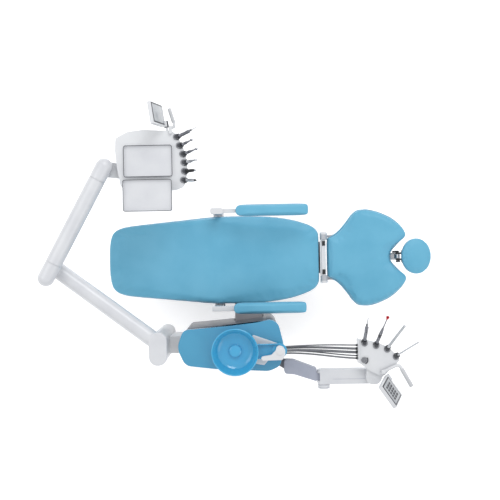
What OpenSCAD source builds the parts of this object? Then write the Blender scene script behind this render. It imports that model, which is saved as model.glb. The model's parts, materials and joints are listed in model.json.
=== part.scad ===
// Dental chair with a chair-mounted treatment unit, millimetres.
// +X runs from the feet to the head, +Y to the patient's right, +Z up.
// The origin is on the floor at the centre of the four main anchor bolts.

/* [Base and lift] */
// Length of the floor plate
base_len = 1020; // [980:10:1060]
// Width of the floor plate
base_w = 500; // [480:10:560]
// Thickness of the floor plate
plate_t = 20; // [16:1:22]
// Spacing of the main anchor bolts along the chair
bolt_x = 460; // [440:5:470]
// Spacing of the anchor bolts across the chair
bolt_y = 430; // [420:5:440]
// Radius of the anchor bolt holes
bolt_r = 7; // [5:0.5:9]
// Height of the floor cover's top
cover_top = 105; // [90:1:105]

/* [Patient seat] */
// Height of the seat cushion at its rear edge
seat_z = 502; // [498:1:506]
// Thickness of the seat cushion at its rear edge
seat_t = 72; // [68:1:72]
// Half width of the seat at its widest
seat_hw = 277; // [270:1:280]
// Height of the backrest's pivot
back_pivot_z = 485; // [480:1:488]

/* [Treatment unit] */
// Height of the unit's top
unit_z = 840; // [835:1:840]
// Height of the underside of the unit
unit_bottom = 300; // [280:5:330]
// Outside radius of the cuspidor bowl
bowl_r = 133; // [125:1:135]

/* [Delivery arm] */
// Radius of the lower arm's tube
arm_r = 48; // [46:1:48]
// Radius of the spring arm's cover
spring_r = 47; // [46:1:47]
// Height of the lower arm's axis
arm_z = 780; // [778:1:780]
// Height of the spring arm's axis
spring_z = 900; // [900:1:902]

/* [Hidden] */
$fn = 48;

// Running clearance of a pin in its bore, and the gap left between faces that only meet
fit = 0.05;
gap = 0.3;

// Middle of the floor plate, and the pair of anchor bolts at its foot end
base_mid = -240;
bolt_foot = -700;

// ---- Lift: the main arm runs from P0 to P1, the tie bar from Q0 to Q1, all as [x, z]
P0 = [-300, 150];
P1 = [150, 320];
tie_offset = [60, -62];
Q0 = P0 + tie_offset;
Q1 = P1 + tie_offset;
pin_r = 15;
tie_pin_r = 12;
ear_in = 92;
ear_out = 108;
deck_z = 400;

// ---- Backrest pivot and headrest
back_x = 362;
slope = 8.65;
guide_at = [700, 468];
neck_pivot = [815, 540];

// ---- Treatment unit
unit_outline = [[-497, -402], [-533, -504], [-486, -607], [-310, -629], [-1, -646], [64, -617],
    [85, -495], [49, -341], [-75, -366], [-217, -381]];
unit_corner_r = [42, 90, 60, 200, 90, 50, 120, 58, 120, 300];
hub = [-645, -509];
bowl_at = [-196, -522];
faucet_at = [58, -521];

// ---- Delivery arm: hub to elbow, elbow to the head's swivel
elbow = [-1238, -34];
arm_root = [-649, -479];
swivel = [-923, 547];
along_spring = unit(swivel - elbow);
spring_turn = atan2(along_spring[1], along_spring[0]);
hinge_in = elbow + 25 * along_spring;
hinge_out = swivel - 70 * along_spring;
spring_len = norm(hinge_out - hinge_in);
rod_drop = 28;

// ---- Delivery head
head_top = 885;
tray_size = [278, 180];
tray_one_at = [-673, 574];
tray_two_at = [-675, 376];
display_at = [-566, 780, 877];
display_turn = 8.4;
display_lean = -15;
tray_pivot = [-674, 445];
// Each instrument: where it passes its holder, and where its tip is from there
doctor_at = [[-504, 712], [-488, 662], [-470, 613], [-463, 564], [-462, 514], [-468, 463]];
doctor_lean = [[119, 33, 115], [77, 20, 85], [86, 16, 95], [74, 5, 85], [75, -3, 85], [85, -11, 95]];

// ---- Assistant's side
assist_post = [112, -648];
assist_hinge = [326, 700];
assist_y = -706;
assist_swivel = [606, -706];
assist_top = 790;
assist_at = [[559, -496], [628, -512], [694, -535], [746, -580]];
assist_lean = [[0, 159, 160], [38, 177, 180], [74, 151, 150], [110, 96, 110]];
// Hoses: stations along X, then for each hose [y, z at the unit], [y, z at the head] and its sag
hose_x = [67, 90, 115, 150, 190, 235, 285, 335, 380, 420, 455, 482, 503, 520.5];
hoses = [[[-524, 710], [-515, 764], 40], [[-534, 694], [-536, 762], 44], [[-549, 706], [-557, 762], 44],
    [[-554, 686], [-577, 762], 50], [[-565, 698], [-592, 764], 44]];
hose_r = [4, 7, 8, 4, 5];

function unit(v) = v / norm(v);
function mix(a, b, t) = a + (b - a) * t;
// An arc of radius r that rounds corner b between points a and c
function corner(a, b, c, r, n) =
    let (u = unit(a - b), v = unit(c - b), h = acos(u * v) / 2, o = b + unit(u + v) * r / sin(h),
        p = b + u * r / tan(h) - o, q = b + v * r / tan(h) - o, s = atan2(p[1], p[0]),
        turn = (atan2(q[1], q[0]) - s + 540) % 360 - 180)
    [for (k = [0:n]) o + r * [cos(s + turn * k / n), sin(s + turn * k / n)]];
// A closed outline with every corner rounded; r is one radius or a list of them
function rounded(pts, r, n = 6) = let (m = len(pts)) [for (i = [0:m - 1])
    each corner(pts[(i + m - 1) % m], pts[i], pts[(i + 1) % m], is_list(r) ? r[i] : r, n)];
function rect(size, c = [0, 0]) = [for (s = [[-1, -1], [1, -1], [1, 1], [-1, 1]])
    c + [s[0] * size[0], s[1] * size[1]] / 2];
// A smooth curve through points, with n steps between each two
function spline(p, n) = let (m = len(p)) concat([for (i = [0:m - 2], k = [0:n - 1])
    let (a = p[max(i - 1, 0)], b = p[i], c = p[i + 1], d = p[min(i + 2, m - 1)], t = k / n)
    0.5 * (2 * b + (c - a) * t + (2 * a - 5 * b + 4 * c - d) * t * t
        + (3 * b - a - 3 * c + d) * t * t * t)], [p[m - 1]]);
// Half an outline, from foot to head on the +Y side, closed by its mirror image
function both_sides(p) = concat(p, [for (i = [len(p) - 1:-1:0]) if (p[i][1] > 0.1) [p[i][0], -p[i][1]]]);
// An outline moved inward by d, for one that runs clockwise or the other way round
function inset(p, d) = let (m = len(p), area = [for (i = [0:m - 1]) p[i][0] * p[(i + 1) % m][1]
        - p[(i + 1) % m][0] * p[i][1]] * [for (i = [0:m - 1]) 1], s = area > 0 ? 1 : -1)
    [for (i = [0:m - 1]) let (a = unit(p[i] - p[(i + m - 1) % m]), b = unit(p[(i + 1) % m] - p[i]),
        na = s * [-a[1], a[0]], nb = s * [-b[1], b[0]]) p[i] + d * (na + nb) / (1 + na * nb)];

module prism(pts, z0, z1) translate([0, 0, z0]) linear_extrude(z1 - z0) polygon(pts);
// An outline in X and Z, extruded along Y from y0 to y1
module side(pts, y0, y1) translate([0, y1, 0]) rotate([90, 0, 0]) linear_extrude(y1 - y0) polygon(pts);
module box(a, b) translate(a) cube(b - a);
module pin_y(at, y0, y1, r) translate([at[0], y1, at[1]]) rotate([90, 0, 0]) cylinder(h = y1 - y0, r = r);
module pin_z(at, z0, z1, r) translate([at[0], at[1], z0]) cylinder(h = z1 - z0, r = r);
// Turns its children so that their +Z points along d, from point a
module towards(a, d) translate(a) rotate([0, acos(d[2] / norm(d)), atan2(d[1], d[0])]) children();
module rod(a, b, r1, r2) towards(a, b - a) cylinder(h = norm(b - a), r1 = r1, r2 = r2);
// A flat link with round ends, in X and Z
module link(a, b, r, y0, y1) translate([a[0], 0, a[1]]) rotate([0, -atan2(b[1] - a[1], b[0] - a[0]), 0])
    side(rounded([[-r, -r], [norm(b - a) + r, -r], [norm(b - a) + r, r], [-r, r]], r * 0.97, 10), y0, y1);
// An upright post with a long round section
module stadium(c, r, straight, z0, z1)
    prism(rounded(rect([2 * r, straight + 2 * r], c), r * 0.98, 12), z0, z1);
// A path through points, each inner one rounded off over the distance cut
function eased(p, cut, n = 6) = concat([p[0]], [for (i = [1:len(p) - 2])
    let (b = p[i], a = b + cut * unit(p[i - 1] - b), c = b + cut * unit(p[i + 1] - b))
    each [for (t = [0:1 / n:1]) mix(mix(a, b, t), mix(b, c, t), t)]], [p[len(p) - 1]]);
// A tube swept along points, one ring at each; its two end faces are square to it, or to cap
module sweep(p, r, sides, cap = undef) {
    m = len(p);
    rings = [for (i = [0:m - 1]) let (along = unit(p[min(i + 1, m - 1)] - p[max(i - 1, 0)]),
        d = cap != undef && (i == 0 || i == m - 1) ? cap : along,
        u = unit(cross([0, 0, 1], d)), v = cross(d, u))
        for (k = [0:sides - 1]) p[i] + r * (u * cos(360 * k / sides) + v * sin(360 * k / sides))];
    walls = [for (i = [0:m - 2], k = [0:sides - 1]) let (a = i * sides + k, b = i * sides + (k + 1) % sides)
        [a, a + sides, b + sides, b]];
    polyhedron(rings, concat(walls, [[for (k = [0:sides - 1]) k],
        [for (k = [sides - 1:-1:0]) (m - 1) * sides + k]]));
}
module both(y0, y1) for (s = [-1, 1]) translate([0, s > 0 ? 0 : -(y0 + y1), 0]) children();
// The lower arm's own frame: +X along the tube from the elbow to its root
module on_arm() translate([elbow[0], elbow[1], arm_z])
    rotate([0, 0, atan2(arm_root[1] - elbow[1], arm_root[0] - elbow[0])]) children();
// The spring arm's own frame: +X along the arm from hinge_in, +Z up, at the arm's axis
module on_spring() translate([hinge_in[0], hinge_in[1], spring_z]) rotate([0, 0, spring_turn]) children();

// ======== Base ========
module base_plate() color("dimgray") difference() {
    prism(rounded(rect([base_len, base_w], [base_mid, 0]), 60), 0, plate_t);
    for (x = [bolt_foot, -bolt_x / 2, bolt_x / 2], y = [-1, 1])
        pin_z([x, y * bolt_y / 2], -1, plate_t + 1, bolt_r);
}

module base_bracket() color("slategray") {
    prism(rounded(rect([420, 250], [-230, 0]), 15), plate_t, plate_t + 12);
    both(ear_in, ear_out) side(rounded([[-370, 30], [-340, 188], [-262, 188], [-196, 112], [-180, 30]],
        [5, 30, 30, 20, 5]), ear_in, ear_out);
    pin_y(P0, -112, 112, pin_r);
    pin_y(Q0, -112, 112, tie_pin_r);
}

module base_cover() color("whitesmoke") difference() {
    prism(rounded(rect([920, 380], [base_mid, 0]), 110, 8), plate_t + gap, cover_top);
    prism(rounded(rect([910, 370], [base_mid, 0]), 105, 8), plate_t, cover_top - 5);
    prism(rounded(rect([500, 254], [-160, 0]), 20), 0, cover_top + 1);
}

// ======== Lift ========
module lift_arm() color("lightgray") difference() {
    union() {
        both(62, 86) link(P0, P1, 34, 62, 86);
        for (t = [0.17, 0.83]) pin_y(mix(P0, P1, t), -63, 63, 18);
    }
    for (p = [P0, P1]) pin_y(p, -100, 100, pin_r + fit);
}

module lift_actuator() color("darkslategray") {
    a = mix(P0, P1, 0.23);
    b = mix(P0, P1, 0.6);
    c = mix(P0, P1, 0.782);
    rod([a[0], 0, a[1]], [b[0], 0, b[1]], 28, 28);
    rod([b[0], 0, b[1]], [c[0], 0, c[1]], 12, 12);
}

module tie_bar() color("lightgray") difference() {
    link(Q0, Q1, 20, -40, 40);
    for (p = [Q0, Q1]) pin_y(p, -50, 50, tie_pin_r + fit);
}

// ======== Patient chair ========
seat_half = [[-993, 0], [-990, 90], [-978, 155], [-956, 192], [-918, 213], [-860, 226], [-700, 240],
    [-503, 255], [-330, 267], [-200, 275], [-100, seat_hw], [30, 270], [150, 252], [250, 223],
    [305, 198], [334, 165], [340, 125], [340, 0]];
seat_under = [[-1000, 396], [-700, 434], [-420, 476], [-330, 482], [-260, 470], [-120, 446], [60, 434],
    [345, seat_z - seat_t]];
seat_over = [[345, seat_z], [60, 508], [-120, 524], [-250, 550], [-330, 562], [-400, 557], [-600, 524],
    [-900, 478], [-975, 464], [-1000, 446]];
back_half = [[380, 0], [380, 118], [392, 127], [448, 159], [503, 224], [538, 273], [572, 296],
    [611, 303], [684, 288], [756, 256], [810, 218], [847, 178], [866, 142], [858, 112], [830, 86],
    [793, 58], [769, 28], [762, 0]];
// The moulded rear cover stays this far inside the backrest's edge
shell_half = [[394, 0], [394, 108], [450, 140], [505, 202], [545, 256], [611, 286], [684, 272],
    [750, 242], [800, 204], [834, 166], [838, 128], [800, 78], [764, 44], [744, 0]];
back_under = [[375, 446], [620, 470], [880, 509.5]];
back_over = [[880, 574], [760, 556], [620, 533], [480, 512], [420, 504], [375, 500]];
function lower(p, d) = [for (q = p) q - [0, d]];
function back_to_front(p) = [for (i = [len(p) - 1:-1:0]) p[i]];
function smooth(p, n = 3) = both_sides(spline(p, n));

module seat_cushion() color("skyblue") intersection() {
    prism(smooth(seat_half), 380, 600);
    side(concat(seat_under, spline(seat_over, 3)), -300, 300);
}

// The moulded shell that the seat cushion lies on
module seat_shell() color("whitesmoke") intersection() {
    prism(smooth([for (q = seat_half) [q[0] * 0.985, max(q[1] - 12, 0)]]), 300, 600);
    side(concat(lower(seat_under, 24), back_to_front(lower(seat_under, gap))), -300, 300);
}

module carriage_frame() color("silver") {
    box([-340, -112, 388], [335, 112, deck_z]);
    both(92, 112) side(concat([[-640, 396], [-340, 366], [335, 366]],
        back_to_front([[-640, 418.4], [-420, 451.4], [-330, 457.4], [-260, 445.4], [-120, 421.4],
        [60, 409.4], [335, 405.4]])), 92, 112);
    both(ear_in, ear_out) side(rounded([[95, 367], [118, 285], [182, 226], [240, 232], [275, 367]],
        [2, 30, 25, 25, 2]), ear_in, ear_out);
    pin_y(P1, -112, 112, pin_r);
    pin_y(Q1, -112, 112, tie_pin_r);
    box([-640, -92, 398], [-600, 92, 408]);
    // Upright that carries the backrest's hinge
    side([[335, 372], [374, 400], [374, 448], [346, 448], [346, 405], [335, 400]], -100, 100);
}

module back_hinge() color("white") {
    box([348, -110, 448 + gap], [374, 110, 488]);
    pin_y([back_x, back_pivot_z - 3], -156, 156, 8);
    both(144, 157) pin_y([back_x, back_pivot_z - 3], 144, 157, 22);
}

module back_frame() color("dimgray") difference() {
    union() {
        both(126, 141) side(rounded([[347, 497], [377, 497], [382, 443], [440, 447], [440, 430], [352, 418]],
            [14, 14, 4, 3, 3, 12]), 126, 141);
        intersection() {
            prism(rounded(rect([330, 290], [555, 0]), 40), 400, 520);
            side(concat(lower(back_under, 6), back_to_front(lower(back_under, gap))), -150, 150);
        }
        headrest_line() box([-35, -32, -12], [35, 32, 9]);
    }
    pin_y([back_x, back_pivot_z - 3], -160, 160, 8 + fit);
    headrest_line() box([-40, -22.2, -4.2], [40, 22.2, 4.2]);
}

// The line that the headrest's bar slides along
module headrest_line() translate([guide_at[0], 0, guide_at[1]]) rotate([0, -slope, 0]) children();

module back_shell() color("whitesmoke") difference() {
    intersection() {
        prism(smooth(shell_half), 380, 600);
        side(concat(lower(back_under, 30), back_to_front(lower(back_under, 6.5))), -300, 300);
    }
    box([628, -36, 420], [900, 36, 600]);
    box([340, -145, 400], [445, -122, 600]);
    box([340, 122, 400], [445, 145, 600]);
}

module back_cushion() color("skyblue") intersection() {
    prism(smooth(back_half), 400, 600);
    side(concat(back_under, spline(back_over, 3)), -310, 310);
}

module headrest_bar() color("silver") difference() {
    union() {
        headrest_line() box([-60, -22, -4], [122, 22, 4]);
        box([803, -13, 484], [827, 13, 540]);
        pin_y(neck_pivot, -13, 13, 12);
    }
    pin_y(neck_pivot, -20, 20, 6 + fit);
}

module headrest_bracket() color("black") {
    pin_y(neck_pivot, -34, 24, 6);
    both(13.5, 24) difference() {
        side(rounded([[802, 530], [835, 530], [850, 553], [826, 553], [802, 552]], [8, 8, 2, 2, 8]), 13.5, 24);
    }
    prism(rounded(rect([110, 90], [888, 0]), 18), 547, 554);
}

module headrest_lever() color("dimgray") difference() {
    union() {
        pin_y(neck_pivot, -36, -25, 13);
        rod([815, -30, 540], [805, -30, 566], 6, 5);
        translate([805, -30, 566]) sphere(7);
    }
    pin_y(neck_pivot, -40, -20, 6 + fit);
}

module headrest_cushion() color("skyblue") {
    translate([918, 0, 554 + gap]) linear_extrude(50) scale_free_oval(87, 108);
}
// An oval drawn point by point
module scale_free_oval(a, b) polygon([for (k = [0:7.5:352.5]) [a * cos(k), b * sin(k)]]);

module armrest_beam(s) {
    y = 308 * s;
    box([-330, min(113 * s, y), 368], [-265, max(113 * s, y), 392]);
    box([-320, min(282 * s, y), 368], [-274, max(282 * s, y), 656]);
}
module armrest_pad_shape(x0, y) prism(rounded([[x0, y - 31], [x0 + 433, y - 31], [x0 + 433, y + 31],
    [x0, y + 31]], [26, 14, 14, 26]), 677, 716);

module armrest_left_bracket() color("white") {
    armrest_beam(-1);
    prism(rounded([[-334, -309], [190, -309], [190, -279], [-334, -279]], 5), 656, 676.7);
}
module armrest_left_pad() color("skyblue") armrest_pad_shape(-202, -292);
module armrest_right_post() color("white") {
    armrest_beam(1);
    pin_z([-297, 293], 650, 690, 9);
}
module armrest_right_arm() color("white") difference() {
    union() {
        prism(rounded(rect([75, 36], [-297, 293]), 12), 656 + gap, 695);
        prism(rounded([[-270, 281], [205, 285], [205, 307], [-270, 305]], 5), 660, 676.7);
    }
    pin_z([-297, 293], 650, 691, 9 + fit);
}
module armrest_right_pad() color("skyblue") armrest_pad_shape(-182, 294);

// ======== Treatment unit ========
unit_shape = rounded(unit_outline, unit_corner_r);

module unit_bridge() color("gray") translate([-201, 0, 0]) rotate([90, 0, 90]) linear_extrude(173)
    polygon([[-112.3, 350], [-112.3, 396], [-284, 396], [-292, 470], [-300, 478], [-413, 478], [-413, 350]]);

// Steel frame inside the unit, with the lug for the assistant's arm
module unit_frame() color("slategray") {
    box([-440, -419, 330], [20, -413.3, 790]);
    box([-440, -590, 330], [20, -419, 336]);
    box([-440, -590, 784], [20, -419, 790]);
    prism([[-60, -575], [-20, -600], [95, -668], [128, -665], [130, -630], [20, -560]], 604, 630);
    pin_z(assist_post, 604, 700, 16);
    box([-60, -590, 336], [-54, -419, 784]);
    box([-440, -590, 336], [-434, -419, 784]);
}

module unit_housing() color("whitesmoke") difference() {
    prism(inset(unit_shape, 6), unit_bottom, unit_z - 40 - gap);
    prism(inset(unit_shape, 10), unit_bottom + 4, unit_z);
    box([-206, -420, 345], [-23, -330, 483]);
    box([-600, -562, 398], [-430, -456, 642]);
    box([18, -680, 600], [140, -540, 634]);
    for (h = [0:len(hoses) - 1]) translate([40, hoses[h][0][0], hoses[h][0][1]]) rotate([0, 90, 0])
        cylinder(h = 60, r = hose_r[h] + 0.5);
}

module unit_top() color("steelblue") difference() {
    prism(unit_shape, unit_z - 40, unit_z);
    prism(inset(unit_shape, 5), unit_z - 41, unit_z - 5);
}

// The fixed column that the delivery arm turns on, with its bracket and shaft
module arm_column() color("whitesmoke") {
    stadium(hub, 51, 84, unit_bottom, 731);
    box([-610, -560, 400], [-440.5, -458, 640]);
    pin_z(hub, 730, 800, 20);
}

// The faucet's head from above, with the beak that fills the cup and rinses the bowl
faucet_head = [[41, -493], [55, -485], [75, -492], [88, -512], [88, -535], [80, -558], [69, -568],
    [-40, -570], [-50, -557], [-42, -546], [10, -538], [33, -515]];
faucet_foot = [[-98, -431], [55, -487], [70, -560], [0, -575], [-30, -610], [-82, -600]];
module faucet() color("white") {
    prism(rounded(faucet_foot, [8, 12, 12, 12, 8, 8]), unit_z + gap, unit_z + 9);
    pin_z(faucet_at, unit_z + 8, 920, 24);
    prism(rounded(faucet_head, 6), 918, 944);
    translate([58, -521, 943]) cylinder(h = 6, r1 = 22, r2 = 18);
}

module cuspidor_bowl() color("dodgerblue", 0.6) difference() {
    union() {
        translate([bowl_at[0], bowl_at[1], 0]) rotate_extrude() polygon([[0, 851], [90, 853], [108, 863],
            [bowl_r, 930], [bowl_r - 6, 930], [103, 868], [88, 859], [38, 858], [36, 866], [0, 866]]);
        difference() {
            box([-78, -564, 884], [58, -480, 914]);
            box([-77, -560, 888], [90, -484, 920]);
            translate([bowl_at[0], bowl_at[1], 880]) cylinder(h = 40, r = 118);
        }
        pin_z(faucet_at, 884, 900, 42);
    }
    pin_z(faucet_at, 880, 920, 24 + fit);
    translate([bowl_at[0], bowl_at[1], 0]) rotate_extrude() polygon([[38.5, 859.2], [88, 859.2], [103, 868],
        [bowl_r - 6, 931], [0, 931], [0, 867], [38.5, 867]]);
}

// ======== Delivery arm ========
module delivery_arm() color("white") {
    l = norm(arm_root - elbow);
    difference() {
        union() {
            stadium(hub, 52.5, 88, 735, 832);
            on_arm() sphere(arm_r);
            on_arm() rotate([0, 90, 0]) cylinder(h = l, r = arm_r);
            pin_z(elbow, arm_z, 838, 38);
        }
        pin_z(hub, 730, 802, 20 + fit);
        on_arm() translate([60, 0, 0]) rotate([0, 90, 0]) cylinder(h = l - 135, r = arm_r - 6);
        on_arm() pin_z([l - 120, 0], -60, 0, 9);
    }
    pin_z(elbow, 830, 862, 14);
}

// A length of round casing with ball ends, in the spring arm's frame
module casing(x0, x1) {
    translate([x0, 0, 0]) sphere(spring_r);
    translate([x1, 0, 0]) sphere(spring_r);
    translate([x0, 0, 0]) rotate([0, 90, 0]) cylinder(h = x1 - x0, r = spring_r);
}
module pivot_pins(x) {
    translate([x, 0, 0]) pin_y([0, 0], -24, 24, 7);
    translate([x, 0, 0]) pin_y([0, -rod_drop], -24, 24, 5);
}

module elbow_housing() color("white") {
    difference() {
        union() {
            on_spring() casing(-80, 0);
            pin_z(elbow, 838 + gap, 872, 40);
        }
        on_spring() box([-22, -18, -50], [70, 18, 38]);
        pin_z(elbow, 830, 864, 14 + fit);
    }
    on_spring() pivot_pins(0);
}

module spring_arm() color("silver") on_spring() difference() {
    union() {
        box([0, -12, -12], [spring_len, 12, 12]);
        for (x = [0, spring_len]) pin_y([x, 0], -12, 12, 13);
    }
    for (x = [0, spring_len]) pin_y([x, 0], -20, 20, 7 + fit);
}

module spring_arm_cover() color("white") on_spring() difference() {
    rotate([0, 90, 0]) cylinder(h = spring_len, r = spring_r);
    difference() {
        translate([-1, 0, 0]) rotate([0, 90, 0]) cylinder(h = spring_len + 2, r = spring_r - 4);
        for (x = [110, spring_len - 116]) box([x, -50, -11], [x + 6, 50, 50]);
    }
    for (x = [0, spring_len]) translate([x, 0, 0]) sphere(spring_r + 3);
    box([-1, -50, -50], [42, 50, -20]);
    box([90, -12 - gap, -12 - gap], [spring_len - 90, 12 + gap, 12 + gap]);
}

module level_rod() color("silver") on_spring() difference() {
    union() {
        translate([0, 0, -rod_drop]) rotate([0, 90, 0]) cylinder(h = spring_len, r = 5);
        for (x = [0, spring_len]) pin_y([x, -rod_drop], -10, 10, 8.5);
    }
    for (x = [0, spring_len]) pin_y([x, -rod_drop], -12, 12, 5 + fit);
}

module arm_end_housing() color("white") {
    difference() {
        union() {
            on_spring() casing(spring_len, spring_len + 70);
            pin_z(swivel, 849, 872, 40);
        }
        on_spring() box([spring_len - 70, -18, -50], [spring_len + 22, 18, 38]);
    }
    on_spring() pivot_pins(spring_len);
    pin_z(swivel, 804, 850, 14);
}

// ======== Delivery head ========
head_outline = [[-862, 640], [-852, 538], [-832, 434], [-800, 412], [-520, 406], [-470, 425], [-449, 508],
    [-450, 570], [-468, 640], [-500, 712], [-530, 744], [-700, 755], [-790, 744], [-858, 708]];
head_corner_r = [60, 300, 20, 20, 20, 30, 90, 90, 90, 40, 30, 120, 60, 16];

// Room for one holder's sleeve: a slanted bore, opened to the edge by an upright slot
module holder_slot(at, z, lean) {
    towards([each at, z], lean) rotate([0, 0, 180]) translate([0, 0, -40]) cylinder(h = 100, r = 15);
    translate(at) rotate([0, 0, atan2(lean[1], lean[0])]) box([0, -15.6, z - 80], [60, 15.6, z + 60]);
}

module delivery_head() color("whitesmoke") difference() {
    union() {
        prism(rounded(head_outline, head_corner_r), 868, head_top);
        intersection() {
            prism(inset(rounded(head_outline, head_corner_r), 8), 812, 868);
            box([-900, 380, 800], [-545, 800, 900]);
        }
        prism(rounded([[-972, 594], [-846, 568], [-846, 484], [-946, 496]], [44, 4, 4, 40]), 798, 847);
        translate(display_at) rotate([0, 0, display_turn]) pin_y([0, 0], -40, 10, 7);
        pin_z(tray_pivot, head_top - 1, 914, 9);
    }
    pin_z(swivel, 790, 850, 14 + fit);
    for (i = [0:5]) holder_slot(doctor_at[i], 877, doctor_lean[i]);
}

module tray(c, z) difference() {
    prism(rounded(rect(tray_size, c), 12), z, z + 16);
    prism(rounded(rect(tray_size - [6, 6], c), 10), z + 2, z + 17);
}
module tray_one() color("gainsboro") tray(tray_one_at, head_top + gap);
module tray_holder() color("silver") difference() {
    prism(rounded(rect([220, 120], [-674, 400]), 12), 907, 912);
    pin_z(tray_pivot, 900, 920, 9 + fit);
}
module tray_two() color("gainsboro") tray(tray_two_at, 914 + 2 * gap);

module delivery_handle() color("lightgray") {
    prism(rounded([[-550, 726], [-532, 726], [-532, 772], [-550, 772]], 5), head_top, 903);
    sweep(eased([[-541, 763, 894.5], [-512, 760, 894.5], [-542, 863, 928]], 26), 8, 12);
}

module delivery_display() color("dimgray") translate(display_at) rotate([0, 0, display_turn])
    rotate([0, display_lean, 0]) difference() {
    union() {
        translate([-10, 0, 14]) side(rounded([[-12, 0], [10, 0], [10, 176], [-12, 176]], 6), -12, 112);
        pin_y([0, 0], -12, 20, 13);
        box([-12, -12, 0], [9, 20, 30]);
    }
    pin_y([0, 0], -20, 12, 7 + fit);
}

module sleeve(at, z, lean, r_out, r_in) towards([each at, z], lean) difference() {
    translate([0, 0, -16]) cylinder(h = 32, r = r_out);
    translate([0, 0, -17]) cylinder(h = 34, r = r_in);
}
module delivery_holders() color("dimgray") for (i = [0:5])
    sleeve(doctor_at[i], 877, doctor_lean[i], 14.7, 10.8);

// A handpiece: a turned body from 36 mm below its holder to its tip; waist and tip are radii
module handpiece(at, z, lean, waist, tip) towards([each at, z], lean) {
    l = norm(lean);
    rotate_extrude() polygon([[0, -40], [6, -40], [8, -34], [9.8, -26], [10, 22], [waist, 0.55 * l],
        [waist, 0.72 * l], [tip, 0.86 * l], [tip, l], [0, l]]);
}
module turned_head(at, z, lean) towards([each at, z], lean)
    translate([-9, 0, norm(lean) - 8]) rotate([0, 90, 0]) cylinder(h = 17, r = 7);

module delivery_syringe() color("silver") handpiece(doctor_at[0], 877, doctor_lean[0], 9, 3);
module turbine_one() color("silver") {
    handpiece(doctor_at[1], 877, doctor_lean[1], 8, 5.5);
    turned_head(doctor_at[1], 877, doctor_lean[1]);
}
module turbine_two() color("silver") {
    handpiece(doctor_at[2], 877, doctor_lean[2], 8, 5.5);
    turned_head(doctor_at[2], 877, doctor_lean[2]);
}
module micromotor() color("silver") handpiece(doctor_at[3], 877, doctor_lean[3], 9.5, 6);
module scaler() color("black") handpiece(doctor_at[4], 877, doctor_lean[4], 9, 4);
module polisher() color("gray") handpiece(doctor_at[5], 877, doctor_lean[5], 8, 2);

// ======== Assistant's side ========
module assist_link() color("slategray") difference() {
    union() {
        prism(rounded([[92, -603], [92, -684], [152, -690], [284, -734], [284, -658], [150, -606]],
            [14, 16, 30, 6, 6, 30]), 640, 712);
        box([280, -728, 672], [326, -684, 712]);
        pin_y(assist_hinge, -728, -684, 30);
    }
    pin_z(assist_post, 630, 701, 16 + fit);
    pin_y(assist_hinge, -740, -670, 8 + fit);
}

module assist_arm() color("white") {
    difference() {
        prism(rounded([[285, -749], [652, -749], [652, -663], [285, -663]], [14, 42, 42, 14]), 667, 733);
        difference() {
            box([270, -760, 660], [326, -650, 740]);
            pin_y(assist_hinge, -770, -640, 40.7);
        }
        box([280, -728.5, 660], [362, -683.5, 731]);
        pin_y(assist_hinge, -760, -650, 8 + fit);
    }
    pin_z(assist_swivel, 730, 762, 14);
}

module assist_knob() color("gainsboro") {
    pin_y(assist_hinge, -752, -665, 8);
    pin_y(assist_hinge, -777, -750, 35);
}

assist_outline = [[526, -480], [560, -482], [628, -498], [700, -528], [770, -600], [661, -702],
    [588, -664], [526, -616]];
module assist_head() color("whitesmoke") difference() {
    union() {
        prism(rounded(assist_outline, [6, 30, 60, 60, 20, 30, 60, 6]), 752, assist_top);
        prism(rounded([[566, -746], [646, -746], [672, -680], [640, -600], [574, -600]], [38, 38, 6, 6, 6]),
            734, 776);
        box([521, -616, 738], [527, -478, 802]);
    }
    pin_z(assist_swivel, 730, 763, 14 + fit);
    for (i = [0:3]) holder_slot(assist_at[i], assist_top - 8, assist_lean[i]);
}

module assist_holders() color("dimgray") for (i = [0:3])
    sleeve(assist_at[i], assist_top - 8, assist_lean[i], 14.7, 10.8);

module assist_handle() color("lightgray") {
    prism(rounded(rect([24, 24], [664, -668]), 7), assist_top, 813);
    sweep(eased([[664, -668, 801], [756, -625, 801], [827, -755, 801]], 26), 9.5, 12);
}

// Control panel: its lower edge runs from one end to the other of panel_edge, and it leans back
panel_lean = 30;
panel_edge = [[687, -692], [764, -803]];
panel_turn = atan2(panel_edge[1][1] - panel_edge[0][1], panel_edge[1][0] - panel_edge[0][0]);
module assist_display() color("dimgray") translate([panel_edge[0][0], panel_edge[0][1], 798])
    rotate([0, 0, panel_turn]) rotate([panel_lean, 0, 0]) difference() {
    union() {
        box([-6, -14, 0], [142, 8, 150]);
        rotate([0, 90, 0]) cylinder(h = 30, r = 10);
    }
    translate([-10, 0, 0]) rotate([0, 90, 0]) cylinder(h = 60, r = 6 + fit);
}

module assist_syringe() color("silver")
    handpiece(assist_at[0], assist_top - 8, assist_lean[0], 9, 3);
module curing_light() color("silver")
    handpiece(assist_at[1], assist_top - 8, assist_lean[1], 9, 4);
module suction_large() color("silver")
    handpiece(assist_at[2], assist_top - 8, assist_lean[2], 8, 7);
module saliva_ejector() color("white")
    handpiece(assist_at[3], assist_top - 8, assist_lean[3], 6, 4);

// ======== Hoses ========
hose_span = [hose_x[0], hose_x[len(hose_x) - 1]];
function hose_point(h, x) = let (t = (x - hose_span[0]) / (hose_span[1] - hose_span[0]), s = t * t * (3 - 2 * t))
    [x, each mix(hoses[h][0], hoses[h][1], s) - [0, hoses[h][2] * pow(4 * t * (1 - t), 1.4)]];
module hose_bundle() color("dimgray") for (h = [0:len(hoses) - 1])
    sweep([for (x = hose_x) hose_point(h, x)], hose_r[h], 10, [1, 0, 0]);

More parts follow.
